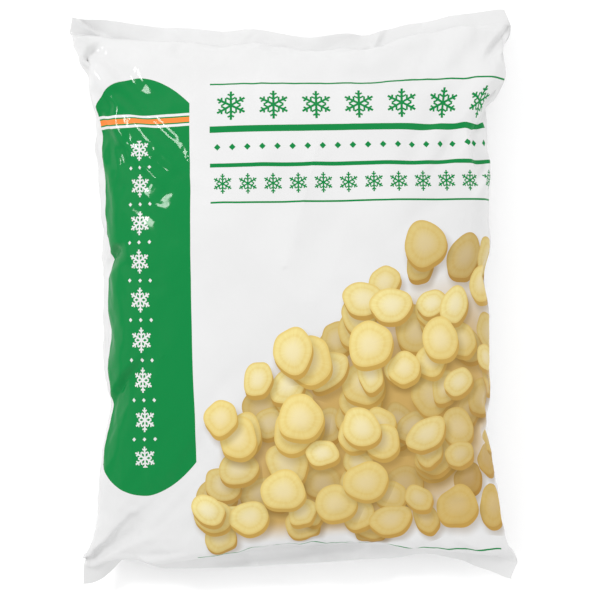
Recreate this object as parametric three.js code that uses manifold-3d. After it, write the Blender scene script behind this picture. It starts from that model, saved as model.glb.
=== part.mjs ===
// A catering pillow bag of frozen cut salsify: one web of film, folded into a tube, sealed down its
// back and across both ends, and filled with loose sticks of peeled root. It lies on its back.
// Millimetres. +X runs across the bag, +Y along it towards the top seal, +Z up out of the front.
import * as THREE from "three";
import { mergeVertices } from "three/addons/utils/BufferGeometryUtils.js";
import Module from "manifold-3d";

const wasm = await Module();
wasm.setup();

// The film, as cut and sealed
const layFlatWidth = 300; // width of the empty bag, half of the way round the tube
const filmRun = 364; // film between the inner edges of the two end seals
const sealBand = 12; // width of each end seal
const wall = 0.8; // stands in for film of about 0.1 mm
const sealFillet = 5; // how many walls thick the film is where it runs into an end seal
const backSealWidth = 12; // fin seal down the back, lying flat to one side
const ventRadius = 1.3; // air vents punched in the back, near the top seal
const ventSpots = [[-70, 145], [-25, 148], [70, 145]];
const ventDepth = 30; // of the cutter: it goes through the back alone
const ventSides = 12;

// How the filled bag lies
const crownHeight = 84; // top of the front above the surface it lies on
const seamHeight = 33; // height of the widest line at the middle of the bag
const belly = 41; // depth of the back below the widest line, before the surface flattens it
const sealHeight = 25; // height of the end seals
const sectionPower = 2.35; // 2 is an ellipse, and more is squarer
const fullnessPower = 2.5; // how long the full part is
const fullnessRise = 0.62; // how steeply the bag fills behind a seal
const slack = 0.01; // share of the way round that is taken up by small wrinkles
const endSag = 13; // how far the filling pulls the middle of an end seal in
const endSkew = 3; // how far the right corners stand above the left ones
const lean = 4; // how far the top seal stands to the left of the bag's middle
const sealWave = 3; // height of the ripple along an end seal
const sealRipples = 1.6; // waves in half the width of the seal
const cornerDroop = 7; // how far the corners hang below the middle of a seal

// The filling
const stickCount = 58;
const stickLength = { least: 82, most: 106 };
const stickRadius = { least: 9.8, most: 12.3 };
const stickTaper = 0.14; // share of its radius that a stick loses from end to end
const stickBend = { least: 0.5, most: 2.4 }; // how far its middle stands out of straight
const stickCut = { least: -0.25, most: 0.25 }; // slope of a knife cut across it
const stickEnd = 0.94; // share of its radius that it keeps at a cut end
const stickYaw = { least: -0.35, most: 0.35 }; // how far it is turned off the bag's length, before it settles
const stickPitch = { least: -0.05, most: 0.05 }; // how far it points up, before it settles
const stickLayers = [
  { height: 15, columns: 7, rows: 3, wide: 185, long: 290 },
  { height: 40, columns: 9, rows: 3, wide: 240, long: 300 },
  { height: 66, columns: 5, rows: 2, wide: 140, long: 190 },
];
const layerJitter = { least: -2, most: 2 };
const stickSides = 8;
const stickSteps = 4; // along its length

// How the filling settles. A round-ended rod stands in for each stick
const clearance = 0.5; // between a stick and its neighbours
const filmClearance = 1.6; // between a stick and the film, whose flat facets cut its curves short
const rodRoom = 1.045; // how much thicker the rod is than its stick
const rodShort = 0.3; // how far the rod's axis stops short of the stick's end, in radii
const settlingRounds = 5000;
const firstSize = 0.5; // the rods start at this share of their thickness
const growth = 0.6; // and gain this share over the rounds, up to the whole
const patchRows = 16; // flat patches along the inside of the film
const patchColumns = 24; // and round it
const patchedShare = 0.88; // share of the film's length that they line
const patchReach = 40; // a patch pushes only on rods as near as this

const around = 48; // facets round the bag
const rows = 28; // and along it
const sectionSteps = 240; // points that a section is measured with
const leastRise = 0.15; // half the height of a section where the film lies flat
const widthSteps = 60;
const halfRun = filmRun / 2;
const farEnd = halfRun + sealBand;

// A share from 0 at an end seal to 1 at the middle, at a place along the film
function fullness(along) {
  const share = Math.min(1, Math.abs(along) / halfRun);
  return (1 - share ** fullnessPower) ** fullnessRise;
}

// One closed section across the bag, starting at the middle of the back and going round by the right
function denseSection(full, halfWidth, inset) {
  const top = Math.max(full * (crownHeight - seamHeight), wall) - inset;
  const bottom = Math.max(full * belly, wall) - inset;
  const side = halfWidth - inset * (1 + sealFillet * (1 - full));
  const middle = sealHeight + full * (seamHeight - sealHeight);
  const points = [];
  for (let i = 0; i < sectionSteps; i++) {
    const angle = (2 * Math.PI * i) / sectionSteps - Math.PI / 2;
    const [c, s] = [Math.cos(angle), Math.sin(angle)];
    const x = side * Math.sign(c) * Math.abs(c) ** (2 / sectionPower);
    const rise = Math.sign(s) * Math.abs(s) ** (2 / sectionPower);
    const z = middle + rise * Math.max(s > 0 ? top : bottom, leastRise);
    points.push(new THREE.Vector2(x, Math.max(z, inset)));
  }
  points.push(points[0].clone());
  return points;
}

function lengthOf(points) {
  return points.slice(1).reduce((sum, p, i) => sum + p.distanceTo(points[i]), 0);
}

// Film doesn't stretch, so the fuller the bag is at a place, the narrower it is there
function halfWidthAt(full) {
  const girth = 2 * layFlatWidth * (1 - slack * full);
  let [low, high] = [layFlatWidth / 4, layFlatWidth / 2];
  for (let i = 0; i < 30; i++) {
    const middle = (low + high) / 2;
    if (lengthOf(denseSection(full, middle, 0)) < girth) low = middle;
    else high = middle;
  }
  return high;
}

const widthTable = Array.from({ length: widthSteps + 1 }, (_, i) => halfWidthAt(i / widthSteps));
function halfWidthOf(full) {
  const i = Math.min(Math.floor(full * widthSteps), widthSteps - 1);
  return THREE.MathUtils.lerp(widthTable[i], widthTable[i + 1], full * widthSteps - i);
}

// A ring of points round the bag, evenly spaced along the film, at a place along it. An inset one lies
// inside the film, and stops short of the seals
function ring(along, count, inset) {
  const full = fullness(along);
  const section = denseSection(full, halfWidthOf(full), inset);
  const total = lengthOf(section);
  const end = Math.min(1, Math.abs(along) / halfRun);
  const shortened = along * (1 - (sealFillet * inset) / halfRun);
  const points = [];
  let [walked, i] = [0, 0];
  for (let k = 0; k < count; k++) {
    const target = (total * k) / count;
    while (walked + section[i].distanceTo(section[i + 1]) < target) {
      walked += section[i].distanceTo(section[i + 1]);
      i++;
    }
    const step = section[i].distanceTo(section[i + 1]);
    const p = section[i].clone().lerp(section[i + 1], (target - walked) / step);
    const across = p.x / halfWidthOf(full);
    points.push(new THREE.Vector3(p.x, shortened, p.y).add(lie(along, end, across)));
  }
  return points;
}

// How the bag departs from a straight, level lie: sagged and skewed end seals, ripple and lean
function lie(along, end, across) {
  const sag = -Math.sign(along) * endSag * end ** 3 * (1 - across * across);
  const skew = endSkew * across * end ** 2;
  const ripple = sealWave * Math.sin(2 * Math.PI * sealRipples * across + 1) * end ** 8;
  const droop = -cornerDroop * across ** 4 * end ** 4;
  return new THREE.Vector3((-lean * along) / halfRun, sag + skew, ripple + droop);
}

// A closed mesh through rings of equal count, the end rings zipped front to back
function loft(rings) {
  const count = rings[0].length;
  const index = [];
  const at = (r, k) => r * count + ((k % count) + count) % count;
  for (let r = 0; r + 1 < rings.length; r++)
    for (let k = 0; k < count; k++) {
      index.push(at(r, k), at(r + 1, k + 1), at(r, k + 1));
      index.push(at(r, k), at(r + 1, k), at(r + 1, k + 1));
    }
  const quarter = count / 4;
  const last = rings.length - 1;
  for (let k = 0; k < count / 2; k++) {
    const corners = [quarter + k, quarter + k + 1, quarter - k - 1, quarter - k];
    const [a, b, c, d] = corners.map((i) => at(0, i));
    const [e, f, g, h] = corners.map((i) => at(last, i));
    if (k < count / 2 - 1) index.push(a, b, c, e, g, f);
    if (k > 0) index.push(a, c, d, e, h, g);
  }
  return solid(rings.flat(), index);
}

function solid(points, index) {
  const vertProperties = new Float32Array(points.flatMap((p) => [p.x, p.y, p.z]));
  return new wasm.Manifold(new wasm.Mesh({ numProp: 3, vertProperties, triVerts: new Uint32Array(index) }));
}

function range(low, high, steps) {
  return Array.from({ length: steps + 1 }, (_, i) => low + ((high - low) * i) / steps);
}

// Places along the film, closer together towards the seals, where it curves most
function places(reach, steps) {
  return range(-1, 1, steps).map((t) => reach * Math.sin((t * Math.PI) / 2) * 0.5 + reach * t * 0.5);
}

function filmSkin() {
  const along = [-farEnd, ...places(halfRun, rows), farEnd];
  return loft(along.map((v) => ring(v, around, 0)));
}

function fillingSpace() {
  return loft(places(halfRun, rows).map((v) => ring(v, around, wall)));
}

// The fin seal: two layers of film pressed together, folded over against the back
function backSeal() {
  const sunk = 0.5 * wall; // its inner face lies within the film, so that the two are one solid
  const index = [];
  const points = [];
  const along = places(farEnd - 1, rows);
  for (const v of along) {
    const [middle, side] = ring(v, around, 0);
    const slope = (side.z - middle.z) / (side.x - middle.x);
    for (const [x, lift] of [[0, sunk], [0, -wall], [backSealWidth, -wall], [backSealWidth, sunk]]) {
      const z = Math.max(middle.z + slope * x + lift, lift > 0 ? lift : 0);
      points.push(new THREE.Vector3(middle.x + x, middle.y, z));
    }
  }
  for (let r = 0; r + 1 < along.length; r++)
    for (let k = 0; k < 4; k++) {
      const [a, b, c, d] = [4 * r + k, 4 * r + ((k + 1) % 4), 4 * r + 4 + ((k + 1) % 4), 4 * r + 4 + k];
      index.push(a, c, b, a, d, c);
    }
  const end = 4 * (along.length - 1);
  index.push(0, 1, 2, 0, 2, 3, end, end + 2, end + 1, end, end + 3, end + 2);
  return solid(points, index);
}

// Repeatable random numbers from 0 to 1, by a linear congruential generator
let seed = 7;
function random() {
  seed = (seed * 1664525 + 1013904223) % 4294967296;
  return seed / 4294967296;
}

function between({ least, most }) {
  return least + (most - least) * random();
}

// Flat patches of the film's inside, each with a spot on it and a normal pointing inward
function innerPatches() {
  const rings = places(patchedShare * halfRun, patchRows).map((v) => ring(v, patchColumns, wall));
  const patches = [];
  for (let r = 0; r + 1 < rings.length; r++)
    for (let k = 0; k < patchColumns; k++) {
      const next = (k + 1) % patchColumns;
      const diagonal = rings[r + 1][next].clone().sub(rings[r][k]);
      const crossing = rings[r + 1][k].clone().sub(rings[r][next]);
      const spot = rings[r][k].clone().add(rings[r + 1][next]).multiplyScalar(0.5);
      patches.push({ spot, inward: diagonal.cross(crossing).normalize() });
    }
  return patches;
}

// Where two straight sticks come nearest, as distances along each from its middle
function nearest(a, b) {
  const apart = new THREE.Vector3().subVectors(a.middle, b.middle);
  const cosine = a.along.dot(b.along);
  const [onA, onB] = [a.along.dot(apart), b.along.dot(apart)];
  const sine2 = Math.max(1 - cosine * cosine, 1e-4);
  let s = THREE.MathUtils.clamp((cosine * onB - onA) / sine2, -a.half, a.half);
  let t = THREE.MathUtils.clamp(onB + cosine * s, -b.half, b.half);
  s = THREE.MathUtils.clamp(cosine * t - onA, -a.half, a.half);
  t = THREE.MathUtils.clamp(onB + cosine * s, -b.half, b.half);
  return [s, t];
}

function pointOn(stick, s) {
  return stick.middle.clone().addScaledVector(stick.along, s);
}

function radiusOn(stick, s) {
  return stick.swollen * (1 - (stickTaper * (s + stick.half)) / (2 * stick.half));
}

// How far a stick gives way, at a place along it, to a push of one: it moves and it turns, as a rod does
function give(stick, s) {
  return 1 + (3 * s * s) / (stick.half * stick.half);
}

function push(stick, s, by) {
  stick.middle.add(by);
  stick.along.addScaledVector(by, (3 * s) / (stick.half * stick.half)).normalize();
}

function looseSticks() {
  const sticks = [];
  for (const { height, columns, rows, wide, long } of stickLayers)
    for (let c = 0; c < columns; c++)
      for (let r = 0; r < rows && sticks.length < stickCount; r++) {
        const yaw = Math.PI / 2 + between(stickYaw);
        const pitch = between(stickPitch);
        const spotX = ((c + 0.5) / columns - 0.5) * wide;
        const spotY = ((r + 0.5) / rows - 0.5) * long;
        const [length, thickness, bend] = [between(stickLength), between(stickRadius), between(stickBend)];
        sticks.push({
          middle: new THREE.Vector3(spotX, spotY, height + between(layerJitter)),
          along: new THREE.Vector3(Math.cos(yaw), Math.sin(yaw), pitch).normalize(),
          length,
          thickness,
          bend,
          cuts: [between(stickCut), between(stickCut)],
          half: length / 2 - rodShort * thickness,
          radius: rodRoom * thickness + bend / 2,
        });
      }
  return sticks;
}

// Lets the sticks push each other and the film apart until none overlap
function settle(sticks, rounds) {
  const patches = innerPatches();
  for (let round = 0; round < rounds; round++) {
    const size = Math.min(1, firstSize + (growth * round) / rounds);
    for (const stick of sticks) stick.swollen = stick.radius * size;
    for (let i = 0; i < sticks.length; i++)
      for (let j = i + 1; j < sticks.length; j++) {
        const [a, b] = [sticks[i], sticks[j]];
        if (a.middle.distanceTo(b.middle) > a.half + b.half + a.radius + b.radius) continue;
        const [s, t] = nearest(a, b);
        const apart = pointOn(a, s).sub(pointOn(b, t));
        const short = radiusOn(a, s) + radiusOn(b, t) + clearance - apart.length();
        if (short <= 0) continue;
        const by = apart.normalize().multiplyScalar(short / (give(a, s) + give(b, t)));
        push(a, s, by);
        push(b, t, by.negate());
      }
    for (const stick of sticks)
      for (const s of [-stick.half, 0, stick.half]) {
        const p = pointOn(stick, s);
        const room = radiusOn(stick, s) + filmClearance;
        for (const { spot, inward } of patches) {
          if (p.distanceTo(spot) > patchReach) continue;
          const short = room - p.clone().sub(spot).dot(inward);
          if (short <= 0) continue;
          push(stick, s, inward.clone().multiplyScalar(short / give(stick, s)));
          p.copy(pointOn(stick, s));
        }
      }
  }
}

// A peeled stick along its own Z: tapered, a little bent, cut across at both ends
function stickGeometry({ length, thickness, bend, cuts }) {
  const rings = range(-1, 1, stickSteps).map((t) => {
    const radius = thickness * (1 - (stickTaper * (t + 1)) / 2) * (Math.abs(t) === 1 ? stickEnd : 1);
    const cut = t === -1 ? cuts[0] : t === 1 ? cuts[1] : 0;
    return Array.from({ length: stickSides }, (_, k) => {
      const angle = (-2 * Math.PI * (k + 0.5)) / stickSides;
      const [x, y] = [radius * Math.cos(angle), radius * Math.sin(angle)];
      const z = (t * length) / 2 - t * Math.abs(cut) * radius + cut * y;
      return new THREE.Vector3(x + bend * (0.5 - t * t), y, z);
    });
  });
  return geometryOf(loft(rings));
}

function geometryOf(manifold) {
  const { vertProperties, triVerts } = manifold.getMesh();
  const geometry = new THREE.BufferGeometry();
  geometry.setAttribute("position", new THREE.BufferAttribute(vertProperties, 3));
  geometry.setIndex(new THREE.BufferAttribute(triVerts, 1));
  geometry.computeVertexNormals();
  return geometry;
}

function vent(x, y) {
  const cylinder = new THREE.CylinderGeometry(ventRadius, ventRadius, ventDepth, ventSides);
  cylinder.rotateX(Math.PI / 2).translate(x, y, 0);
  cylinder.deleteAttribute("normal").deleteAttribute("uv");
  const { attributes, index } = mergeVertices(cylinder);
  const mesh = { numProp: 3, vertProperties: attributes.position.array, triVerts: index.array };
  return new wasm.Manifold(new wasm.Mesh(mesh));
}

function filmBag() {
  const hollow = filmSkin().add(backSeal()).subtract(fillingSpace());
  return ventSpots.reduce((bag, [x, y]) => bag.subtract(vent(x, y)), hollow);
}

const film = new THREE.MeshStandardMaterial({ color: 0xeeeeec, roughness: 0.3, metalness: 0 });
const flesh = new THREE.MeshStandardMaterial({ color: 0xe6d48c, roughness: 0.6, metalness: 0 });

const bag = new THREE.Group();
const skin = new THREE.Mesh(geometryOf(filmBag()), film);
skin.name = "film_bag";
bag.add(skin);

const sticks = looseSticks();
settle(sticks, settlingRounds);
sticks.forEach((stick, i) => {
  const mesh = new THREE.Mesh(stickGeometry(stick), flesh.clone());
  mesh.name = `salsify_stick_${String(i + 1).padStart(2, "0")}`;
  mesh.position.copy(stick.middle);
  mesh.quaternion.setFromUnitVectors(new THREE.Vector3(0, 0, 1), stick.along);
  bag.add(mesh);
});

// The origin is on the surface under the middle of the bag
const bounds = new THREE.Box3().setFromObject(bag, true);
const middle = bounds.getCenter(new THREE.Vector3());
bag.position.set(-middle.x, -middle.y, -bounds.min.z);

export default bag;
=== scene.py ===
# A full pillow bag of frozen root sticks, lying on its back on a pale floor.
import math

import bmesh
import bpy
import numpy as np
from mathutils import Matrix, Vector, noise
from mathutils.bvhtree import BVHTree


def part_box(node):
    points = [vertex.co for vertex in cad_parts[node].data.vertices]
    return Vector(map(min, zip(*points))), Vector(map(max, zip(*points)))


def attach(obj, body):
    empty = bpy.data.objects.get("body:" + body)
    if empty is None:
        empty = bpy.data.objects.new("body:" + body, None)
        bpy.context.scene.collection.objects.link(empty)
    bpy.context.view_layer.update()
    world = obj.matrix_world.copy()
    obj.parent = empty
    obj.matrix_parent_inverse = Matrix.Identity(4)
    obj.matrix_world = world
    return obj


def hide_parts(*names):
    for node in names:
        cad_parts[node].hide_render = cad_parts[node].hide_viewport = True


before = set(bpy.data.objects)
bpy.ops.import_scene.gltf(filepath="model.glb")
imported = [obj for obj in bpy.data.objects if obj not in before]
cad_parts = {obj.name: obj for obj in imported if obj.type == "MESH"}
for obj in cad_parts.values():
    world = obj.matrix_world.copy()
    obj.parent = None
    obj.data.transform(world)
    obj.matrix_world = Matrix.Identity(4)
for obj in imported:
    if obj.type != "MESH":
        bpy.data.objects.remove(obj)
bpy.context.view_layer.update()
scene = bpy.context.scene
print("frame loaded")


# camera straight above the bag
cameraSet = {"lens": 100, "sensor": 36, "height": 1.172, "across": .0031, "along": -.0014}

cameraData = bpy.data.cameras.new("overhead_camera")
cameraData.lens = cameraSet["lens"]
cameraData.sensor_width = cameraSet["sensor"]
camera = bpy.data.objects.new("overhead_camera", cameraData)
camera.location = (cameraSet["across"], cameraSet["along"], cameraSet["height"])
scene.collection.objects.link(camera)
scene.camera = camera
print("camera placed")


# film bag: a tube of film, blown by its contents and pinched flat at both ends
bag = {
    "layFlatWidth": .300,    # tube pressed flat
    "filmRun": .364,         # between the two end seals
    "sealBand": .0125,
    "seamHeight": .033,      # height of the widest line
    "belly": .041,           # how far the widest line stands over the underside
    "sealHeight": .025,
    "sectionPower": 2.35,
    "sectionSteps": 480,
    "thinnest": .0002,       # least half height of a section
    "fullnessPower": 2.5,
    "fullnessRise": .62,
    "slack": .01,
    "endSag": .013,
    "endSkew": .003,
    "lean": .004,
    "sealWave": .003,
    "sealRipples": 1.6,
    "cornerDroop": .007,
    "columns": 60,
    "sealRows": 2,
    "floorGap": .0012,
    "settle": .0013,         # leaves the film one fin seal above the floor
}
bagLow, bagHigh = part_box("film_bag")
crownHeight = bagHigh.z - bagLow.z
halfRun = bag["filmRun"] / 2
columns = bag["columns"]
bodyRows = round(bag["filmRun"] * columns / bag["layFlatWidth"])
sealRows = bag["sealRows"]
simRows = bodyRows + 2 * sealRows
firstRow, lastRow = sealRows, sealRows + bodyRows


def fullness(along):
    share = min(1, abs(along) / halfRun)
    return (1 - share ** bag["fullnessPower"]) ** bag["fullnessRise"]


def middleHeight(full):
    return bag["sealHeight"] + full * (bag["seamHeight"] - bag["sealHeight"])


def crossSection(full, halfWidth, inset=0):
    turn = np.linspace(0, 2 * math.pi, bag["sectionSteps"] + 1) - math.pi / 2
    power = 2 / bag["sectionPower"]
    wide, tall = np.cos(turn), np.sin(turn)
    above = max(full * (crownHeight - bag["seamHeight"]) - inset, bag["thinnest"])
    below = max(full * bag["belly"] - inset, bag["thinnest"])
    x = (halfWidth - inset) * np.sign(wide) * np.abs(wide) ** power
    z = middleHeight(full) + np.sign(tall) * np.abs(tall) ** power * np.where(tall > 0, above, below)
    return np.stack([x, np.maximum(z, inset)], 1)


def gapsOf(points):
    return np.hypot(*(points[1:] - points[:-1]).T)


def halfWidthFor(full):
    # the section as wide as the girth of the tube allows
    girth = 2 * bag["layFlatWidth"] * (1 - bag["slack"] * full)
    low, high = bag["layFlatWidth"] / 4, bag["layFlatWidth"] / 2
    for _ in range(30):
        middle = (low + high) / 2
        if gapsOf(crossSection(full, middle)).sum() < girth:
            low = middle
        else:
            high = middle
    return high


fullSteps = np.linspace(0, 1, 61)
halfWidths = [halfWidthFor(full) for full in fullSteps]


def halfWidthAt(along):
    return np.interp(fullness(along), fullSteps, halfWidths)


def lie(across, along, x, z):
    # ends sag in the middle, droop at the corners, and the seals ripple
    end = min(1, abs(along) / halfRun)
    y = (along - np.sign(along) * bag["endSag"] * end ** 3 * (1 - across ** 2)
         + bag["endSkew"] * across * end ** 2)
    ripple = np.sin(2 * math.pi * bag["sealRipples"] * across + 1)
    z = z + bag["sealWave"] * ripple * end ** 8 - bag["cornerDroop"] * across ** 4 * end ** 4
    return np.stack([x - bag["lean"] * along / halfRun, y + 0 * x, z], -1)


def ringAt(along, inset=0, count=2 * columns):
    section = crossSection(fullness(along), halfWidthAt(along), inset)
    run = np.concatenate([[0], np.cumsum(gapsOf(section))])
    spots = np.arange(count) / count * run[-1]
    x = np.interp(spots, run, section[:, 0])
    z = np.interp(spots, run, section[:, 1])
    return lie(x / halfWidthAt(along), along, x, z)


def alongOf(row):
    if row < firstRow:
        return -halfRun - bag["sealBand"] * (firstRow - row) / sealRows
    if row > lastRow:
        return halfRun + bag["sealBand"] * (row - lastRow) / sealRows
    return -halfRun + bag["filmRun"] * (row - firstRow) / bodyRows


def pillowShape():
    front = np.zeros((columns + 1, simRows + 1, 3))
    back = front.copy()
    quarter = columns // 2
    order = np.arange(columns + 1)
    for row in range(simRows + 1):
        ring = ringAt(alongOf(row))
        back[:, row] = ring[(order - quarter) % (2 * columns)]
        front[:, row] = ring[(3 * quarter - order) % (2 * columns)]
        if row <= firstRow or row >= lastRow:
            front[:, row] = back[:, row] = (front[:, row] + back[:, row]) / 2
    return front, back


# cloth simulation of the film over its contents
cloth = {
    "frames": 20,
    "relaxedBy": 8,          # frame at which the film has its own cut size
    "cutLonger": 1.075,
    "cutDip": .009,          # ends cut in towards the middle, as a full bag pulls them
    "cutWider": 1.015,
    "cutGap": .0002,         # between the two webs as cut
    "quality": 8,
    "mass": .0002,
    "stretch": 400,
    "shear": 100,
    "bend": .15,
    "sealBend": 30,
    "damping": 5,
    "bendDamping": .5,
    "airDamping": 1,
    "pressure": 22,
    "gravity": .12,
    "gap": .0006,
    "gapQuality": 2,
    "tableFriction": 5,
    "jitter": .00012,
    "seed": 5,
    "formAcross": .8,        # how much of the front the contents hold down
    "formAlong": .85,
    "formLift": .0005,
    "formGrid": (60, 44),
    "formFriction": 1,
    "coreInset": .009,
    "coreEnd": .012,
    "coreGrid": (80, 40),
    "coreFriction": 3,
    "contentsDamping": .3,
}


def numberGrid():
    frontId = np.zeros((columns + 1, simRows + 1), int)
    backId = frontId.copy()
    count = 0
    for row in range(simRows + 1):
        for column in range(columns + 1):
            frontId[column, row] = backId[column, row] = count
            count += 1
            if firstRow < row < lastRow and 0 < column < columns:
                backId[column, row] = count
                count += 1
    return frontId, backId, count


def looseFilm(frontId, backId, count):
    front, back = pillowShape()
    places = np.zeros((count, 3))
    places[backId] = back
    places[frontId] = front
    places[:, 2] = np.maximum(places[:, 2], bag["floorGap"])
    places += np.random.default_rng(cloth["seed"]).normal(0, cloth["jitter"], places.shape)
    faces = []
    blown = set()
    for row in range(simRows):
        for column in range(columns):
            ids = frontId[column:column + 2, row:row + 2].ravel()
            faces.append([int(ids[k]) for k in (0, 2, 3, 1)])
            if firstRow <= row < lastRow:
                ids = backId[column:column + 2, row:row + 2].ravel()
                faces.append([int(ids[k]) for k in (0, 1, 3, 2)])
                blown.update(faces[-1] + faces[-2])
    sealed = {int(k) for row in range(simRows + 1) if not firstRow < row < lastRow for k in frontId[:, row]}
    mesh = bpy.data.meshes.new("loose_film")
    mesh.from_pydata(places.tolist(), [], faces)
    film = bpy.data.objects.new("loose_film", mesh)
    scene.collection.objects.link(film)
    film.vertex_groups.new(name="blown").add(sorted(blown), 1, "REPLACE")
    film.vertex_groups.new(name="sealed").add(sorted(sealed), 1, "REPLACE")
    return film


def flatPlace(column, row, height):
    x = -bag["layFlatWidth"] / 2 + bag["layFlatWidth"] * column / columns
    y = alongOf(row)
    edge = abs(x) * 2 / bag["layFlatWidth"]
    end = abs(y) / (halfRun + bag["sealBand"])
    dip = math.copysign(cloth["cutDip"], y) * (1 - edge ** 2) * end ** 2
    return x * cloth["cutWider"], y * cloth["cutLonger"] - dip, height


def cutToSize(film, frontId, backId):
    film.shape_key_add(name="Basis")
    cut = film.shape_key_add(name="cut")
    for row in range(simRows + 1):
        for column in range(columns + 1):
            cut.data[backId[column, row]].co = flatPlace(column, row, -cloth["cutGap"])
            cut.data[frontId[column, row]].co = flatPlace(column, row, 0)
    cut.value = 0
    cut.keyframe_insert("value", frame=1)
    cut.value = 1
    cut.keyframe_insert("value", frame=cloth["relaxedBy"])


def pointOutwards(mesh):
    shell = bmesh.new()
    shell.from_mesh(mesh)
    bmesh.ops.recalc_face_normals(shell, faces=shell.faces)
    shell.to_mesh(mesh)
    shell.free()


def collider(name, places, faces, friction):
    mesh = bpy.data.meshes.new(name)
    mesh.from_pydata(places.tolist(), [], faces)
    form = bpy.data.objects.new(name, mesh)
    scene.collection.objects.link(form)
    form.modifiers.new("Collision", "COLLISION")
    form.collision.thickness_outer = cloth["gap"]
    form.collision.cloth_friction = friction
    form.collision.damping = cloth["contentsDamping"]
    return form


def contentsForm():
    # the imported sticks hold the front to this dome
    across, along = cloth["formGrid"]
    side = np.linspace(-1, 1, across + 1) * cloth["formAcross"]
    power = bag["sectionPower"]
    places = []
    for row in range(along + 1):
        y = halfRun * cloth["formAlong"] * (2 * row / along - 1)
        full = fullness(y)
        above = full * (crownHeight - bag["seamHeight"])
        z = middleHeight(full) + above * (1 - np.abs(side) ** power) ** (1 / power) + cloth["formLift"]
        places.append(lie(side, y, side * halfWidthAt(y), z))
    wide = across + 1
    faces = [(k, k + wide, k + wide + 1, k + 1)
             for row in range(along) for k in range(row * wide, row * wide + across)]
    return collider("contents_form", np.concatenate(places), faces, cloth["formFriction"])


def contentsCore():
    # the film can't sink deeper than this between the sticks
    around, along = cloth["coreGrid"]
    reach = halfRun - cloth["coreEnd"]
    turns = np.linspace(-1, 1, along + 1)
    rings = [ringAt(reach * (turn + math.sin(turn * math.pi / 2)) / 2, cloth["coreInset"], around)
             for turn in turns]
    faces = [(row * around + k, row * around + (k + 1) % around,
              (row + 1) * around + (k + 1) % around, (row + 1) * around + k)
             for row in range(along) for k in range(around)]
    faces += [tuple(range(around))[::-1], tuple(along * around + k for k in range(around))]
    core = collider("contents_core", np.concatenate(rings), faces, cloth["coreFriction"])
    pointOutwards(core.data)
    return core


def clothOn(film):
    soft = film.modifiers.new("Cloth", "CLOTH")
    rules = soft.settings
    rules.quality = cloth["quality"]
    rules.mass = cloth["mass"]
    rules.tension_stiffness = rules.compression_stiffness = cloth["stretch"]
    rules.shear_stiffness = cloth["shear"]
    rules.bending_stiffness = cloth["bend"]
    rules.tension_damping = rules.compression_damping = rules.shear_damping = cloth["damping"]
    rules.bending_damping = cloth["bendDamping"]
    rules.air_damping = cloth["airDamping"]
    rules.vertex_group_bending = "sealed"
    rules.bending_stiffness_max = cloth["sealBend"]
    rules.effector_weights.gravity = cloth["gravity"]
    rules.use_pressure = True
    rules.uniform_pressure_force = cloth["pressure"]
    rules.vertex_group_pressure = "blown"
    rules.use_dynamic_mesh = True
    soft.collision_settings.distance_min = cloth["gap"]
    soft.collision_settings.collision_quality = cloth["gapQuality"]
    soft.point_cache.frame_end = cloth["frames"]


def simulateFilm():
    frontId, backId, count = numberGrid()
    film = looseFilm(frontId, backId, count)
    cutToSize(film, frontId, backId)
    bpy.ops.object.select_all(action="DESELECT")
    bpy.ops.mesh.primitive_plane_add(size=2)
    table = bpy.context.object
    table.modifiers.new("Collision", "COLLISION")
    table.collision.thickness_outer = bag["floorGap"]
    table.collision.cloth_friction = cloth["tableFriction"]
    helpers = [film, table, contentsForm(), contentsCore()]
    clothOn(film)
    for step in range(1, cloth["frames"] + 1):
        scene.frame_set(step)
    shaped = film.evaluated_get(bpy.context.evaluated_depsgraph_get()).to_mesh()
    places = np.array([vertex.co[:] for vertex in shaped.vertices]) - (0, 0, bag["settle"])
    scene.frame_set(1)
    for helper in helpers:
        bpy.data.objects.remove(helper)
    print("film simulated")
    return places[frontId], places[backId]


# the sticks inside hold the film off themselves
contents = {"gap": .0012, "skin": .0007, "mostPush": .003, "probe": .03, "spread": 5}


def stickTree():
    places, faces = [], []
    for name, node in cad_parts.items():
        if name.startswith("salsify_stick"):
            start = len(places)
            places += [vertex.co.copy() for vertex in node.data.vertices]
            faces += [[start + k for k in face.vertices] for face in node.data.polygons]
    return BVHTree.FromPolygons(places, faces)


sticks = stickTree()


def roomNeeded(place, normal, gap):
    probe = contents["probe"]
    start = Vector(place) + Vector(normal) * probe
    hit = sticks.ray_cast(start, -Vector(normal), probe + gap)[3]
    return 0 if hit is None else probe - hit + gap


def gridNormals(side, sign):
    across, along = np.gradient(side, axis=0), np.gradient(side, axis=1)
    normals = sign * np.cross(across, along)
    return normals / (np.linalg.norm(normals, axis=2)[..., None] + 1e-9)


def clearContents(front, back):
    body = slice(firstRow + 1, lastRow)
    for side, sign in ((front, 1), (back, -1)):
        normals = gridNormals(side, sign)
        need = np.zeros(side.shape[:2])
        for column in range(columns + 1):
            for row in range(body.start, body.stop):
                need[column, row] = roomNeeded(side[column, row], normals[column, row], contents["gap"])
        eased = need.copy()
        for _ in range(contents["spread"]):
            padded = np.pad(eased, 1, mode="edge")
            around = padded[:-2, 1:-1] + padded[2:, 1:-1] + padded[1:-1, :-2] + padded[1:-1, 2:]
            eased = np.maximum(need, around / 4)
        side[:, body] += normals[:, body] * eased[:, body, None]
    for column in (0, columns):
        front[column] = back[column] = (front[column] + back[column]) / 2


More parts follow.
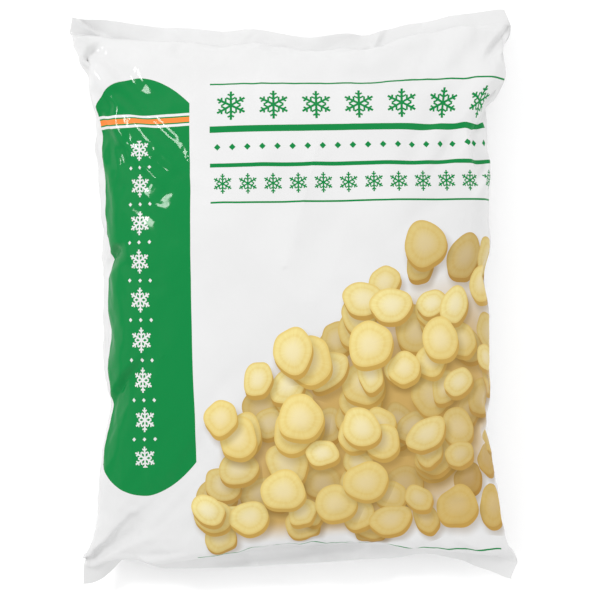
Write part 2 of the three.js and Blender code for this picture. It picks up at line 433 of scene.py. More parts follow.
# how the full bag lies: its edges nudged in or out, its end seals tugged up or down
lieSet = {
    "stretchTop": (1.005, 1.005),        # left, right
    "stretchBottom": (1.055, .992),
    "nudges": (                          # side, along, reach along, push across
        (-1, .163, .014, -.0065),
        (-1, .020, .025, -.003),
        (-1, -.068, .016, .005),
        (-1, -.161, .016, -.0097),
        (1, .178, .014, .0055),
        (1, .145, .020, .003),
        (1, .140, .013, .0068),
        (1, .065, .022, .004),
        (1, .030, .010, .003),
        (1, .010, .014, -.004),
        (1, -.186, .010, .003),
    ),
    "tugs": (                            # end, share across, reach across, push along
        (1, -.95, .08, -.0005),
        (1, -.45, .12, .002),
        (1, -.17, .11, .004),
        (1, .15, .11, -.0032),
        (1, .35, .09, -.0045),
        (1, .56, .09, .002),
        (1, .75, .10, .005),
        (1, .90, .05, .001),
        (-1, -.79, .115, .0085),
        (-1, -.98, .04, -.002),
        (-1, .25, .22, .002),
        (-1, 1, .05, -.0022),
    ),
}


def nudge(side):
    across = np.linspace(-1, 1, columns + 1)[:, None]
    along = np.array([alongOf(row) for row in range(simRows + 1)])[None, :]
    edge, hand = np.abs(across) ** 3, np.sign(across)
    for which, place, reach, push in lieSet["nudges"]:
        side[..., 0] += push * edge * (hand == which) * np.exp(-((along - place) / reach) ** 2)
    end = np.clip(along / halfRun, -1, 1)
    for which, place, reach, push in lieSet["tugs"]:
        fade = np.where(end * which > 0, end ** 6, 0)
        side[..., 1] += push * np.exp(-((across - place) / reach) ** 2) * fade
    share = side[..., 0] / bag["layFlatWidth"] + .5
    top, bottom = (left * (1 - share) + right * share
                   for left, right in (lieSet["stretchTop"], lieSet["stretchBottom"]))
    side[..., 1] *= np.where(side[..., 1] > 0, top, bottom)


# end seals: the two walls run on as one flat flap
seal = {
    "rows": 10,
    "thickness": .0006,
    "taperFrom": .9,                     # share across at which a corner starts to draw in
    "top": {
        "ruffle": (.0026, .018, 7),      # height, spacing, seed
        "taper": (.0015, .0046),         # how far its outer corners draw in, left and right
        "tilt": (                        # share across, rise of the flap in radians
            (-1, .5), (-.88, .35), (-.72, -.1), (-.5, -.45), (.08, -.5),
            (.18, .1), (.27, .1), (.36, -.45), (.8, -.45), (1, -.5),
        ),
        "curl": ((-1, 0), (1, 0)),       # share across, rise of the outer edge
    },
    "bottom": {
        "ruffle": (.0040, .024, 12),
        "taper": (0, .0032),
        "tilt": (
            (-1, 0), (-.93, -.5), (-.84, -1.3), (-.76, -1.4), (-.64, -.8), (-.45, -.5), (-.1, -.25),
            (.2, -.1), (.42, -.5), (.57, -1.1), (.7, -.8), (.85, -.4), (1, .1),
        ),
        "curl": ((-1, 0), (-.5, 0), (-.3, .005), (.2, .005), (.4, 0), (1, 0)),
    },
}
backShift = .5   # the back's share of the film map lies this far to the right


def smoothed(values):
    values = values.copy()
    for _ in range(2):
        values[1:-1] = (values[:-2] + 2 * values[1:-1] + values[2:]) / 4
    return values


def sealFlap(line, sign, edge):
    along = np.gradient(smoothed(line), axis=0)
    along /= np.linalg.norm(along, axis=1)[:, None]
    out = sign * np.cross((0, 0, 1), along)
    out /= np.linalg.norm(out, axis=1)[:, None]
    up = sign * np.cross(along, out)
    across = np.linspace(-1, 1, columns + 1)
    tilt = smoothed(np.interp(across, *zip(*edge["tilt"])))
    curl = np.interp(across, *zip(*edge["curl"]))
    start, (left, right) = seal["taperFrom"], edge["taper"]
    drawIn = np.interp(across, (-1, -start, start, 1), (left, 0, 0, -right))
    high, spacing, seed = edge["ruffle"]
    spots = np.linspace(-1, 1, round(bag["layFlatWidth"] / spacing))
    ruffle = high * np.interp(across, spots, np.random.default_rng(seed).uniform(-1, 1, len(spots)))
    ruffle = smoothed(ruffle)
    flap = []
    for row in range(seal["rows"] + 1):
        share = row / seal["rows"]
        reach = bag["sealBand"] * share
        rise = reach * np.sin(tilt) + ruffle * share + curl * share ** 3
        aside = along * (drawIn * share)[:, None]
        flap.append(line + out * (reach * np.cos(tilt))[:, None] + up * rise[:, None] + aside)
    return np.array(flap), up


def closedWalls(front, back):
    top, topUp = sealFlap(front[:, lastRow], 1, seal["top"])
    bottom, bottomUp = sealFlap(front[:, firstRow], -1, seal["bottom"])
    half = seal["thickness"] / 2

    def wall(side, sign):
        upper = [line + sign * half * topUp for line in top]
        lower = [line + sign * half * bottomUp for line in bottom]
        upper[-1], lower[-1] = top[-1], bottom[-1]
        body = [side[:, row] for row in range(firstRow + 1, lastRow)]
        return np.stack(lower[::-1] + body + upper, 1)

    outside, underside = wall(front, 1), wall(back, -1)
    for column in (0, columns):
        outside[column] = (outside[column] + underside[column]) / 2
    return outside, underside


def filmMesh(outside, underside):
    us = np.linspace(-.5, .5, columns + 1) * bag["layFlatWidth"]
    vs = [alongOf(0) + bag["sealBand"] * k / seal["rows"] for k in range(seal["rows"])]
    vs += [alongOf(row) for row in range(firstRow, lastRow + 1)]
    vs += [halfRun + bag["sealBand"] * (k + 1) / seal["rows"] for k in range(seal["rows"])]
    rows = len(vs) - 1
    places, film = [], []
    upId = np.zeros((columns + 1, rows + 1), int)
    downId = upId.copy()
    for row in range(rows + 1):
        for column in range(columns + 1):
            rim = column in (0, columns) or row in (0, rows)
            upId[column, row] = downId[column, row] = len(places)
            places.append(tuple(outside[column, row]))
            film.append((us[column], vs[row], 0 if rim else 1))
            if not rim:
                downId[column, row] = len(places)
                places.append(tuple(underside[column, row]))
                film.append((us[column], vs[row], -1))
    faces, spots = [], []
    for row in range(rows):
        for column in range(columns):
            corners = ((column, row), (column + 1, row), (column + 1, row + 1), (column, row + 1))
            faces.append([int(upId[c]) for c in corners])
            spots += [(us[c[0]], vs[c[1]]) for c in corners]
            faces.append([int(downId[c]) for c in corners[::-1]])
            spots += [(us[c[0]] + backShift, vs[c[1]]) for c in corners[::-1]]
    mesh = bpy.data.meshes.new("printed_film")
    mesh.from_pydata(places, [], faces)
    filmMap = mesh.uv_layers.new(name="film")
    filmMap.data.foreach_set("uv", np.array(spots).ravel())
    spot = mesh.attributes.new("spot", "FLOAT_VECTOR", "POINT")
    spot.data.foreach_set("vector", np.array(film).ravel())
    sharp = mesh.attributes.new("crease_vert", "FLOAT", "POINT")
    for corner in (upId[0, 0], upId[0, -1], upId[-1, 0]):
        sharp.data[int(corner)].value = 1
    return mesh


# relief of the film: gathers at the seals, sticks felt through it, creases and folds
relief = {
    "gather": .0005,
    "gatherSize": (.007, .030),
    "gatherReach": .012,
    "gatherFade": .003,
    "bumps": .00035,
    "bumpSize": (.022, .060),
    "bumpFade": .03,
    "crumple": .0024,
    "crumpleSize": (.020, .028),
    "crumpleReach": .022,
    "crumpleLeft": .1,       # share of it in the middle of the faces
    "pucker": .0011,
    "puckerSize": (.013, .020),
    "rimFade": .004,         # crumples and puckers start this far from an edge
    # start and end on the film, width, height, which is below 0 for a valley;
    # gentle on the left of the line, steep on its right
    "folds": (
        (-.149, .182, -.128, .160, .010, .0034),
        (-.120, .183, -.148, .168, .010, .0030),
        (-.152, .199, -.124, .184, .009, -.0050),
        (-.126, .172, -.144, .148, .008, -.0055),
        (-.084, .199, -.066, .178, .012, .0014),
        (-.036, .180, -.022, .199, .012, .0014),
        (.020, .170, .056, .187, .011, .0022),
        (.052, .176, .068, .200, .013, .0034),
        (.098, .199, .086, .180, .012, .0014),
        (.152, .188, .127, .150, .009, -.0040),
        (.136, .116, .102, .074, .016, .0026),
        (.150, .152, .138, .118, .009, -.0040),
        (.145, .092, .118, .056, .012, .0032),
        (-.108, .092, -.084, .069, .009, .0012),
        (-.096, -.032, -.144, -.068, .014, -.0046),
        (-.114, .036, -.150, .022, .012, -.0040),
        (-.124, -.170, -.070, -.163, .012, -.0022),
        (-.112, -.166, -.085, -.178, .009, .0016),
        (.060, -.178, .086, -.166, .010, .0020),
        (.104, -.160, .136, -.178, .012, .0024),
        (-.106, -.200, -.090, -.176, .012, .0022),
        (-.040, -.176, -.022, -.200, .014, .0022),
        (.036, -.200, .050, -.176, .012, .0018),
        (.112, -.178, .126, -.200, .010, .0016),
    ),
    "steepSide": .3,
    "blend": .012,
}


def foldHeight(u, v):
    height = 0
    for startU, startV, endU, endV, width, high in relief["folds"]:
        runU, runV = endU - startU, endV - startV
        length = math.hypot(runU, runV)
        share = ((u - startU) * runU + (v - startV) * runV) / length ** 2
        if not 0 < share < 1:
            continue
        off = ((u - startU) * runV - (v - startV) * runU) / length / width
        side = 1 + off if off < 0 else 1 - off / relief["steepSide"]
        if side > 0:
            height += high * side * math.sin(math.pi * share)
    return height


def ridges(place, octaves):
    return sum(abs(noise.noise(place * 2 ** k + Vector((0, 0, k * 4)))) / 2 ** k for k in range(octaves))


def filmPush(u, v, side):
    inside = halfRun - abs(v)
    rim = max(0, min(inside, bag["layFlatWidth"] / 2 - abs(u)))
    wide, tall = relief["gatherSize"]
    gather = noise.noise(Vector((u / wide, v / tall, side + 5)))
    push = relief["gather"] * gather * math.exp(-inside / relief["gatherReach"])
    push *= min(1, inside / relief["gatherFade"])
    if side > 0:
        wide, tall = relief["bumpSize"]
        bump = noise.noise(Vector((u / wide + 9, v / tall, side)))
        push += relief["bumps"] * bump * min(1, inside / relief["bumpFade"])
        push += foldHeight(u, v)
    wide, tall = relief["crumpleSize"]
    crumple = ridges(Vector((u / wide, v / tall, side * 3)), 3)
    share = relief["crumpleLeft"] + (1 - relief["crumpleLeft"]) * math.exp(-rim / relief["crumpleReach"])
    return push - relief["crumple"] * crumple * share * min(1, rim / relief["rimFade"])


def sealPush(u, v, outside):
    wide, tall = relief["puckerSize"]
    pucker = noise.noise(Vector((u / wide, v / tall, 2))) - ridges(Vector((u / wide, v / tall, 6)), 2) / 2
    return relief["pucker"] * pucker * min(1, outside / relief["rimFade"]) + foldHeight(u, v)


def addRelief(piece):
    mesh = piece.data
    spots = np.zeros(len(mesh.vertices) * 3)
    mesh.attributes["spot"].data.foreach_get("vector", spots)
    upwards = Vector((0, 0, 1))
    moves = []
    for vertex, (u, v, side) in zip(mesh.vertices, spots.reshape(-1, 3)):
        outside = abs(v) - halfRun
        if outside >= 0:      # both walls of a seal move as one
            moves.append(upwards * sealPush(u, v, outside))
            continue
        nearSeal = max(0, 1 + outside / relief["blend"])
        push = filmPush(u, v, side)
        if side < 0:
            moves.append(vertex.normal * push + upwards * foldHeight(u, v) * nearSeal)
        else:
            moves.append(vertex.normal.lerp(upwards, nearSeal) * push)
    normals = [vertex.normal.copy() for vertex in mesh.vertices]
    for vertex, move, normal in zip(mesh.vertices, moves, normals):
        place = vertex.co + move
        room = roomNeeded(place, normal, contents["skin"])
        vertex.co = place + normal * room if room < contents["mostPush"] else place


# fin seal down the back: both edges of the film, sealed and folded flat to one side
fin = {
    "width": .012,
    "thickness": .0005,
    "gap": .0003,
    "steps": 6,
    "start": -.001,          # where it leaves the back, from the middle
    "floorRoom": .0008,
}


def finSeal(back):
    normals = gridNormals(back, -1)
    us = np.linspace(fin["start"], fin["start"] + fin["width"], fin["steps"] + 1)
    at = us / bag["layFlatWidth"] * columns + columns / 2
    low = at.astype(int)
    share = (at - low)[:, None]
    rows = range(firstRow + 1, lastRow)
    places, faces = [], []
    for row in rows:
        line = back[low, row] * (1 - share) + back[low + 1, row] * share
        out = normals[low, row] * (1 - share) + normals[low + 1, row] * share
        for lift in (fin["gap"], fin["gap"] + fin["thickness"]):
            layer = line + out * lift
            layer[:, 2] = np.maximum(layer[:, 2], fin["floorRoom"] - lift)
            places += layer.tolist()
    wide = fin["steps"] + 1
    ring = list(range(wide)) + [2 * wide - 1 - k for k in range(wide)]
    for row in range(len(rows) - 1):
        start = row * 2 * wide
        for corner, following in zip(ring, ring[1:] + ring[:1]):
            faces.append((start + corner, start + following,
                          start + following + 2 * wide, start + corner + 2 * wide))
    last = (len(rows) - 1) * 2 * wide
    faces += [tuple(ring[::-1]), tuple(last + k for k in ring)]
    mesh = bpy.data.meshes.new("fin_seal")
    mesh.from_pydata(places, [], faces)
    pointOutwards(mesh)
    filmMap = mesh.uv_layers.new(name="film")
    for loop in mesh.loops:
        row, k = divmod(loop.vertex_index, 2 * wide)
        filmMap.data[loop.index].uv = (us[k % wide] + backShift, alongOf(rows[row]))
    piece = bpy.data.objects.new("fin_seal", mesh)
    scene.collection.objects.link(piece)
    return piece


def select(piece, *others):
    bpy.ops.object.select_all(action="DESELECT")
    for item in (piece, *others):
        item.select_set(True)
    bpy.context.view_layer.objects.active = piece


def buildBag():
    front, back = simulateFilm()
    clearContents(front, back)
    for side in (front, back):
        nudge(side)
    piece = bpy.data.objects.new("printed_film", filmMesh(*closedWalls(front, back)))
    scene.collection.objects.link(piece)
    select(piece)
    finer = piece.modifiers.new("Subdivision", "SUBSURF")
    finer.levels = finer.render_levels = 2
    bpy.ops.object.modifier_apply(modifier=finer.name)
    addRelief(piece)
    select(piece, finSeal(back))
    bpy.ops.object.join()
    bpy.ops.object.shade_smooth()
    return piece


filmBag = buildBag()
print("film bag made")


# node helpers
def wire(tree, value, socket):
    if isinstance(value, bpy.types.NodeSocket):
        tree.links.new(value, socket)
    else:
        socket.default_value = value


def calc(tree, operation, *values, clamp=False):
    node = tree.nodes.new("ShaderNodeMath")
    node.operation = operation
    node.use_clamp = clamp
    for value, socket in zip(values, node.inputs):
        wire(tree, value, socket)
    return node.outputs[0]


def times(tree, first, second):
    return calc(tree, "MULTIPLY", first, second)


def plus(tree, first, second, clamp=False):
    return calc(tree, "ADD", first, second, clamp=clamp)


def minus(tree, first, second):
    return calc(tree, "SUBTRACT", first, second)


def under(tree, value, limit):
    return calc(tree, "LESS_THAN", value, limit)


def over(tree, value, limit):
    return calc(tree, "GREATER_THAN", value, limit)


def within(tree, value, low, high):
    return times(tree, over(tree, value, low), under(tree, value, high))


def vectorCalc(tree, operation, *values):
    node = tree.nodes.new("ShaderNodeVectorMath")
    node.operation = operation
    for value, socket in zip(values, node.inputs):
        wire(tree, value, socket)
    return node.outputs["Value" if operation in ("LENGTH", "DOT_PRODUCT") else "Vector"]


def parts(tree, vector):
    node = tree.nodes.new("ShaderNodeSeparateXYZ")
    wire(tree, vector, node.inputs[0])
    return node.outputs[0], node.outputs[1], node.outputs[2]


def joined(tree, x, y, z=0):
    node = tree.nodes.new("ShaderNodeCombineXYZ")
    for value, socket in zip((x, y, z), node.inputs):
        wire(tree, value, socket)
    return node.outputs[0]


def ramp(tree, value, start, end, low=0, high=1):
    node = tree.nodes.new("ShaderNodeMapRange")
    node.interpolation_type = "SMOOTHSTEP"
    for part, socket in zip((value, start, end, low, high), node.inputs):
        wire(tree, part, socket)
    return node.outputs[0]


def blendColours(tree, share, first, second):
    node = tree.nodes.new("ShaderNodeMix")
    node.data_type = "RGBA"
    wire(tree, share, node.inputs["Factor"])
    wire(tree, first, node.inputs[6])
    wire(tree, second, node.inputs[7])
    return node.outputs[2]


def cloudy(tree, vector, scale, detail=2, roughness=.5):
    node = tree.nodes.new("ShaderNodeTexNoise")
    node.inputs["Scale"].default_value = scale
    node.inputs["Detail"].default_value = detail
    node.inputs["Roughness"].default_value = roughness
    wire(tree, vector, node.inputs["Vector"])
    return node.outputs["Fac"]


def newGroup(name, inputs, outputs):
    group = bpy.data.node_groups.new(name, "ShaderNodeTree")
    for direction, sockets in (("INPUT", inputs), ("OUTPUT", outputs)):
        for label, kind in sockets:
            group.interface.new_socket(label, in_out=direction, socket_type="NodeSocket" + kind)
    start = group.nodes.new("NodeGroupInput")
    end = group.nodes.new("NodeGroupOutput")
    return group, start.outputs, end.inputs


def useGroup(tree, group, *values):
    node = tree.nodes.new("ShaderNodeGroup")
    node.node_tree = group
    for value, socket in zip(values, node.inputs):
        wire(tree, value, socket)
    return node.outputs


def newFinish(name, settings):
    finish = bpy.data.materials.new(name)
    finish.use_nodes = True
    shader = finish.node_tree.nodes["Principled BSDF"]
    for label, value in settings.items():
        shader.inputs[label].default_value = value
    return finish, finish.node_tree, shader


def addBump(tree, shader, height, strength, depth):
    bump = tree.nodes.new("ShaderNodeBump")
    bump.inputs["Strength"].default_value = strength
    bump.inputs["Distance"].default_value = depth
    tree.links.new(height, bump.inputs["Height"])
    tree.links.new(bump.outputs[0], shader.inputs["Normal"])


def ink(red, green, blue):
    def linear(value):
        value /= 255
        return value / 12.92 if value <= .04045 else ((value + .055) / 1.055) ** 2.4
    return (linear(red), linear(green), linear(blue), 1)


# snow crystal, in shares of its radius
crystalShape = {
    "armHalf": .075,
    "twigHalf": .06,
    "twigs": ((.38, .34), (.68, .24)),     # place on the arm, length
    "twigLean": (.5, .866),                # twigs stand 60 degrees off their arm
}


def snowCrystalGroup():
    group, given, result = newGroup(
        "snow_crystal", (("Across", "Float"), ("Along", "Float"), ("Radius", "Float")), (("Mask", "Float"),))
    x, y, radius = given[0], given[1], given[2]
    reach = calc(group, "SQRT", plus(group, times(group, x, x), times(group, y, y)))
    turn = plus(group, calc(group, "ARCTAN2", y, x), 2.5 * math.pi)
    folded = calc(group, "PINGPONG", turn, math.pi / 6)
    reach = calc(group, "DIVIDE", reach, radius)
    out = times(group, reach, calc(group, "COSINE", folded))
    aside = times(group, reach, calc(group, "SINE", folded))
    shape = times(group, under(group, aside, crystalShape["armHalf"]), under(group, out, 1))
    short, long = crystalShape["twigLean"]
    for root, twig in crystalShape["twigs"]:
        past = minus(group, out, root)
        lengthwise = plus(group, times(group, past, short), times(group, aside, long))
        sideways = minus(group, times(group, past, long), times(group, aside, short))
        line = under(group, calc(group, "ABSOLUTE", sideways), crystalShape["twigHalf"])
        line = times(group, line, within(group, lengthwise, 0, twig))
        shape = calc(group, "MAXIMUM", shape, line)
    group.links.new(shape, result[0])
    return group


# scatter of root slices; four numbers are a ramp: from, to, its value there
heap = {
    "centre": (.049, -.092),
    "half": (.118, .108),
    "slope": .45,
    "crowd": (.25, 1.25, 1, 0),
    "core": (.1, .72, .9, 0),
    "coreColour": ink(178, 140, 48),
    "foot": -.156,
    "footFade": (-.162, -.144),
}
slices = {
    "cell": .047,
    "scatter": .38,
    "radius": (.0108, .0152),
    "squash": (.66, 1),
    "uneven": (.86, 1.14),
    "unevenSize": .9,
    "wallDrop": (.0008, -.0028),
    "halfDrop": (.0004, -.0014),
    "shadowDrop": (.0026, -.0052),
    "shadow": (.8, 1.35, .42, 0),
    "chance": (7.31, 3.17),
    "rays": (7, 7, .8),
    "heartReach": (.15, .75, .85, 0),
    "heartRays": (.3, .7, .55, 1),
    "ringAt": .66,
    "ring": (.02, .09, .5, 0),
    "rimReach": (.84, 1, 0, .8),
    "rayTint": (.35, .65, 0, .22),
    "toneTint": (0, 1, 0, .3),
    "lightFrom": (-.6, .8, 0),
    "dim": (-.9, .9, .22, 0),
    "dusk": (.09, .27, 0, .62),
    "face": ink(223, 210, 144),
    "heart": ink(232, 229, 202),
    "rim": ink(208, 181, 104),
    "wall": ink(172, 136, 66),
    "tone": ink(214, 184, 96),
    "shadowColour": ink(120, 92, 34),
    "deepColour": ink(134, 92, 32),
    "depth": .5,             # how much of it the lowest layer takes
    "depthPower": 1.5,
    "shifts": ((.313, .127), (.871, .459), (.529, .733), (.197, .911),
               (.653, .281), (.951, .617), (.415, .385), (.767, .841)),
}


def heapReach(tree, x, y):
    aside = minus(tree, x, heap["centre"][0])
    heapLine = plus(tree, times(tree, aside, heap["slope"]), heap["centre"][1])
    upwards = calc(tree, "DIVIDE", minus(tree, y, heapLine), heap["half"][1])
    aside = calc(tree, "DIVIDE", aside, heap["half"][0])
    return plus(tree, calc(tree, "POWER", aside, 4), times(tree, upwards, upwards))


def sliceColour(group, face, bearing, faceMask, chance):
    rays = vectorCalc(group, "ADD", bearing, joined(group, 0, 0, face))
    rays = cloudy(group, vectorCalc(group, "MULTIPLY", rays, slices["rays"]), 1, 2)
    heart = times(group, ramp(group, face, *slices["heartReach"]), ramp(group, rays, *slices["heartRays"]))
    colour = blendColours(group, heart, slices["face"], slices["heart"])
    ring = calc(group, "ABSOLUTE", minus(group, face, slices["ringAt"]))
    ring = times(group, ramp(group, ring, *slices["ring"]), rays)
    rim = plus(group, ramp(group, face, *slices["rimReach"]), ring, clamp=True)
    colour = blendColours(group, rim, colour, slices["rim"])
    colour = blendColours(group, ramp(group, rays, *slices["rayTint"]), colour, slices["rim"])
    colour = blendColours(group, faceMask, slices["wall"], colour)
    return blendColours(group, ramp(group, chance, *slices["toneTint"]), colour, slices["tone"])


def rootSliceGroup():
    group, given, result = newGroup(
        "root_slices", (("Film", "Vector"), ("Shift", "Vector")),
        (("Colour", "Color"), ("Mask", "Float"), ("Shade", "Float")))
    place = vectorCalc(group, "ADD", given[0], given[1])
    cells = group.nodes.new("ShaderNodeTexVoronoi")
    cells.voronoi_dimensions = "2D"
    cells.inputs["Scale"].default_value = 1 / slices["cell"]
    cells.inputs["Randomness"].default_value = slices["scatter"]
    wire(group, place, cells.inputs["Vector"])
    centre = cells.outputs["Position"]
    chanceA, chanceB, chanceC = parts(group, cells.outputs["Color"])
    fromCentre = vectorCalc(group, "SUBTRACT", place, centre)
    radius = ramp(group, chanceC, 0, 1, *slices["radius"])
    turn = times(group, chanceA, 2 * math.pi)
    squash = ramp(group, chanceB, 0, 1, *slices["squash"])

    def ellipse(shift):
        rotate = group.nodes.new("ShaderNodeVectorRotate")
        rotate.rotation_type = "Z_AXIS"
        wire(group, vectorCalc(group, "SUBTRACT", fromCentre, (*shift, 0)), rotate.inputs["Vector"])
        wire(group, turn, rotate.inputs["Angle"])
        x, y, _ = parts(group, rotate.outputs[0])
        y = calc(group, "DIVIDE", y, squash)
        away = vectorCalc(group, "LENGTH", joined(group, x, y))
        bearing = joined(group, calc(group, "DIVIDE", x, away), calc(group, "DIVIDE", y, away), chanceC)
        uneven = ramp(group, cloudy(group, bearing, slices["unevenSize"], 0), 0, 1, *slices["uneven"])
        return calc(group, "DIVIDE", away, times(group, radius, uneven)), bearing

    face, bearing = ellipse((0, 0))
    masks = [under(group, face, 1)]
    masks += [under(group, ellipse(slices[drop])[0], 1) for drop in ("wallDrop", "halfDrop")]
    shadow = ramp(group, ellipse(slices["shadowDrop"])[0], *slices["shadow"])

    # whether this cell holds a slice, by its place in the heap
    homeX, homeY, _ = parts(group, vectorCalc(group, "SUBTRACT", centre, given[1]))
    density = ramp(group, heapReach(group, homeX, homeY), *heap["crowd"])
    density = times(group, density, over(group, homeY, heap["foot"]))
    mixA, mixB = slices["chance"]
    chance = calc(group, "FRACT", plus(group, times(group, chanceA, mixA), times(group, chanceB, mixB)))
    present = under(group, chance, density)

    colour = sliceColour(group, face, bearing, masks[0], chanceB)
    lit = calc(group, "DIVIDE", vectorCalc(group, "DOT_PRODUCT", fromCentre, slices["lightFrom"]), radius)
    colour = blendColours(group, ramp(group, lit, *slices["dim"]), colour, slices["wall"])
    dusk = ramp(group, minus(group, homeX, homeY), *slices["dusk"])
    colour = blendColours(group, dusk, colour, slices["wall"])
    mask = calc(group, "MAXIMUM", masks[0], calc(group, "MAXIMUM", masks[1], masks[2]))
    group.links.new(colour, result[0])
    group.links.new(times(group, mask, present), result[1])
    group.links.new(times(group, shadow, present), result[2])
    return group


# print in green: a panel with crystals and stripes, a heading and a foot rule
printed = {
    "green": ink(1, 122, 58),
    "panel": (-.1385, -.067, -.1003, .1265),     # left, right, bottom, top on the flat film
    "panelBow": .0205,
    "panelCrystals": (-.1025, .0075, .024),      # place across, radius, spacing
    "panelDots": (.0075, .0013, 1.6),            # spacing, half size, dots either side of the middle
    "panelWhite": (-.102, .102),                 # lowest and highest crystal
    "panelStripes": (                            # place along, half width, colour
        (.1190, .0009, ink(212, 212, 212)),
        (.1155, .0017, ink(232, 128, 58)),
        (.1120, .0009, ink(212, 212, 212)),
    ),
    "heading": (-.0535, .1435),                  # left, right
    "headingRules": ((.1410, .0006), (.1075, .0022), (.0835, .0013), (.0595, .0006)),
    "headingCrystals": ((.1243, .0105, .0281), (.0715, .0065, .0164)),    # place along, radius, spacing
    "headingDots": (.0955, .0022, .00985),
    "footRule": (-.1705, .0006, -.067, .138),    # place along, half width, left, right
}


def repeated(tree, value, pitch):
    return calc(tree, "WRAP", value, pitch / 2, -pitch / 2)


def diamond(tree, aside, upwards, size):
    away = plus(tree, calc(tree, "ABSOLUTE", aside), calc(tree, "ABSOLUTE", upwards))
    return under(tree, away, size)


def panelMask(tree, across, along, crystal):
    left, right, bottom, top = printed["panel"]
    middle, halfPanel = (left + right) / 2, (right - left) / 2
    offCentre = calc(tree, "DIVIDE", minus(tree, across, middle), halfPanel)
    bow = times(tree, minus(tree, 1, times(tree, offCentre, offCentre)), printed["panelBow"])
    panel = within(tree, across, left, right)
    panel = times(tree, panel, over(tree, plus(tree, along, bow), bottom))
    panel = times(tree, panel, under(tree, minus(tree, along, bow), top))

    crystalAt, size, pitch = printed["panelCrystals"]
    aside = minus(tree, across, crystalAt)
    white = useGroup(tree, crystal, aside, repeated(tree, along, pitch), size)[0]
    spacing, size, reach = printed["panelDots"]
    between = minus(tree, calc(tree, "WRAP", along, pitch, 0), pitch / 2)
    dots = diamond(tree, repeated(tree, aside, spacing), between, size)
    dots = times(tree, dots, within(tree, across, crystalAt - reach * spacing, crystalAt + reach * spacing))
    white = calc(tree, "MAXIMUM", white, dots)
    white = times(tree, white, within(tree, along, *printed["panelWhite"]))
    return times(tree, panel, minus(tree, 1, white))


def headingMask(tree, across, along, crystal):
    start, end = printed["heading"]
    rows = [within(tree, along, place - half, place + half) for place, half in printed["headingRules"]]
    for place, size, pitch in printed["headingCrystals"]:
        aside = repeated(tree, minus(tree, across, start + pitch / 2), pitch)
        rows.append(useGroup(tree, crystal, aside, minus(tree, along, place), size)[0])
    place, size, pitch = printed["headingDots"]
    aside = repeated(tree, minus(tree, across, start + pitch / 2), pitch)
    rows.append(diamond(tree, aside, minus(tree, along, place), size))
    marks = rows[0]
    for row in rows[1:]:
        marks = calc(tree, "MAXIMUM", marks, row)
    return times(tree, marks, within(tree, across, start, end))


def footMask(tree, across, along):
    place, half, start, end = printed["footRule"]
    return times(tree, within(tree, along, place - half, place + half), within(tree, across, start, end))


# printed film
filmLook = {
    "white": ink(212, 212, 212),
    "hazeSize": 22,
    "hazeFade": (.3, .7),
    "hazeTone": .97,
    "gloss": {"Roughness": .45, "Specular IOR Level": .02, "Coat Weight": .25, "Coat Roughness": .07},
    "grain": 140,
    "bump": .06,
    "bumpDepth": .0004,
}


def printedFinish():
    finish, tree, shader = newFinish("printed_film", filmLook["gloss"])
    filmMap = tree.nodes.new("ShaderNodeUVMap")
    filmMap.uv_map = "film"
    spot = filmMap.outputs[0]
    across, along, _ = parts(tree, spot)
    white = filmLook["white"]
    haze = ramp(tree, cloudy(tree, spot, filmLook["hazeSize"], 3), *filmLook["hazeFade"])
    colour = blendColours(tree, haze, white, tuple(k * filmLook["hazeTone"] for k in white[:3]) + (1,))

    # the heap's shaded middle, then its slices, lowest layer first, each with its soft shadow
    core = ramp(tree, heapReach(tree, across, along), *heap["core"])
    core = times(tree, core, ramp(tree, along, *heap["footFade"]))
    colour = blendColours(tree, core, colour, heap["coreColour"])
    rootSlices = rootSliceGroup()
    layers = slices["shifts"]
    for number, shift in enumerate(layers):
        layer = useGroup(tree, rootSlices, spot, (*shift, 0))
        colour = blendColours(tree, layer["Shade"], colour, slices["shadowColour"])
        depth = slices["depth"] * (1 - number / (len(layers) - 1)) ** slices["depthPower"]
        tone = blendColours(tree, depth, layer["Colour"], slices["deepColour"])
        colour = blendColours(tree, layer["Mask"], colour, tone)

    crystal = snowCrystalGroup()
    green = calc(tree, "MAXIMUM", panelMask(tree, across, along, crystal),
                 headingMask(tree, across, along, crystal))
    green = calc(tree, "MAXIMUM", green, footMask(tree, across, along))
    colour = blendColours(tree, green, colour, printed["green"])
    onPanel = within(tree, across, *printed["panel"][:2])
    for place, half, tint in printed["panelStripes"]:
        stripe = times(tree, onPanel, within(tree, along, place - half, place + half))
        colour = blendColours(tree, stripe, colour, tint)

    tree.links.new(colour, shader.inputs["Base Color"])
    grain = cloudy(tree, spot, filmLook["grain"], 3)
    addBump(tree, shader, grain, filmLook["bump"], filmLook["bumpDepth"])
    return finish


filmBag.data.materials.append(printedFinish())
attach(filmBag, "root")
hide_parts("film_bag")


# peeled and frosted flesh of the sticks
fleshLook = {
    "pale": ink(236, 224, 176),
    "deep": ink(221, 200, 138),
    "frost": ink(244, 244, 240),
    "fibre": (420, 60, 420),         # fibres run along the sticks
    "frostSize": 140,
    "frostFade": (.52, .72, 0, .55),
    "gloss": {"Roughness": .55, "Subsurface Weight": .15, "Subsurface Scale": .004},
    "bump": .35,
    "bumpDepth": .0006,
}


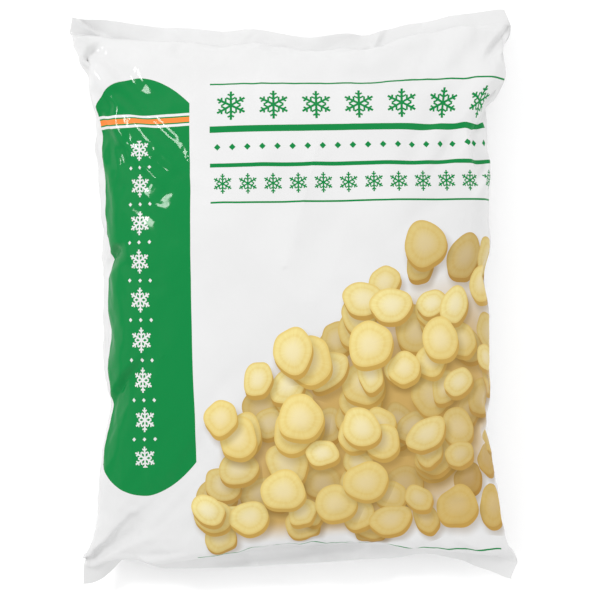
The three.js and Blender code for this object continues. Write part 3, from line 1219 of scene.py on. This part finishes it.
def fleshFinish():
    finish, tree, shader = newFinish("salsify_flesh", fleshLook["gloss"])
    place = tree.nodes.new("ShaderNodeTexCoord").outputs["Object"]
    grain = vectorCalc(tree, "MULTIPLY", place, fleshLook["fibre"])
    fibre = ramp(tree, cloudy(tree, grain, 1, 4, .6), .3, .7)
    colour = blendColours(tree, fibre, fleshLook["pale"], fleshLook["deep"])
    frost = ramp(tree, cloudy(tree, place, fleshLook["frostSize"], 3, .7), *fleshLook["frostFade"])
    colour = blendColours(tree, frost, colour, fleshLook["frost"])
    tree.links.new(colour, shader.inputs["Base Color"])
    addBump(tree, shader, fibre, fleshLook["bump"], fleshLook["bumpDepth"])
    return finish


flesh = fleshFinish()
for name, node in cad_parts.items():
    if name.startswith("salsify_stick"):
        node.data.materials.clear()
        node.data.materials.append(flesh)
print("finishes set")


# studio: a pale floor, brightest light from half way up the sky, one small key light
studio = {
    "floorSize": 6,
    "floor": {"Base Color": (.97, .97, .97, 1), "Roughness": .8},
    "horizon": .9,
    "middle": 1.55,
    "zenith": .95,
    "middleFrom": .2,
    "middleAt": .4,
    "zenithFrom": .9,
    "brighterTowards": (.8, .6, 0),
    "brighterBy": .15,
    "keyPlace": (-1.06, .59, 1.12),
    "keyPower": 6.5,
    "keySize": .22,
}

bpy.ops.object.select_all(action="DESELECT")
bpy.ops.mesh.primitive_plane_add(size=studio["floorSize"])
floor = bpy.context.object
floor.name = "floor"
floor.data.materials.append(newFinish("pale_floor", studio["floor"])[0])

world = bpy.data.worlds.new("studio")
scene.world = world
world.use_nodes = True
sky = world.node_tree
direction = sky.nodes.new("ShaderNodeTexCoord").outputs["Generated"]
height = parts(sky, direction)[2]
rising = ramp(sky, height, studio["middleFrom"], studio["middleAt"], studio["horizon"] - studio["middle"], 0)
strength = ramp(sky, height, studio["middleAt"], studio["zenithFrom"], studio["middle"], studio["zenith"])
strength = plus(sky, strength, rising)
lean = vectorCalc(sky, "DOT_PRODUCT", direction, studio["brighterTowards"])
strength = times(sky, strength, plus(sky, times(sky, lean, studio["brighterBy"]), 1))
background = sky.nodes["Background"]
background.inputs["Color"].default_value = (1, 1, 1, 1)
sky.links.new(strength, background.inputs["Strength"])
scene.view_settings.view_transform = "Standard"

keyData = bpy.data.lights.new("key_light", "AREA")
keyData.size = studio["keySize"]
keyData.energy = studio["keyPower"]
keyLight = bpy.data.objects.new("key_light", keyData)
keyLight.location = studio["keyPlace"]
keyLight.rotation_euler = (-Vector(studio["keyPlace"])).to_track_quat("-Z", "Y").to_euler()
scene.collection.objects.link(keyLight)
print("studio lit")
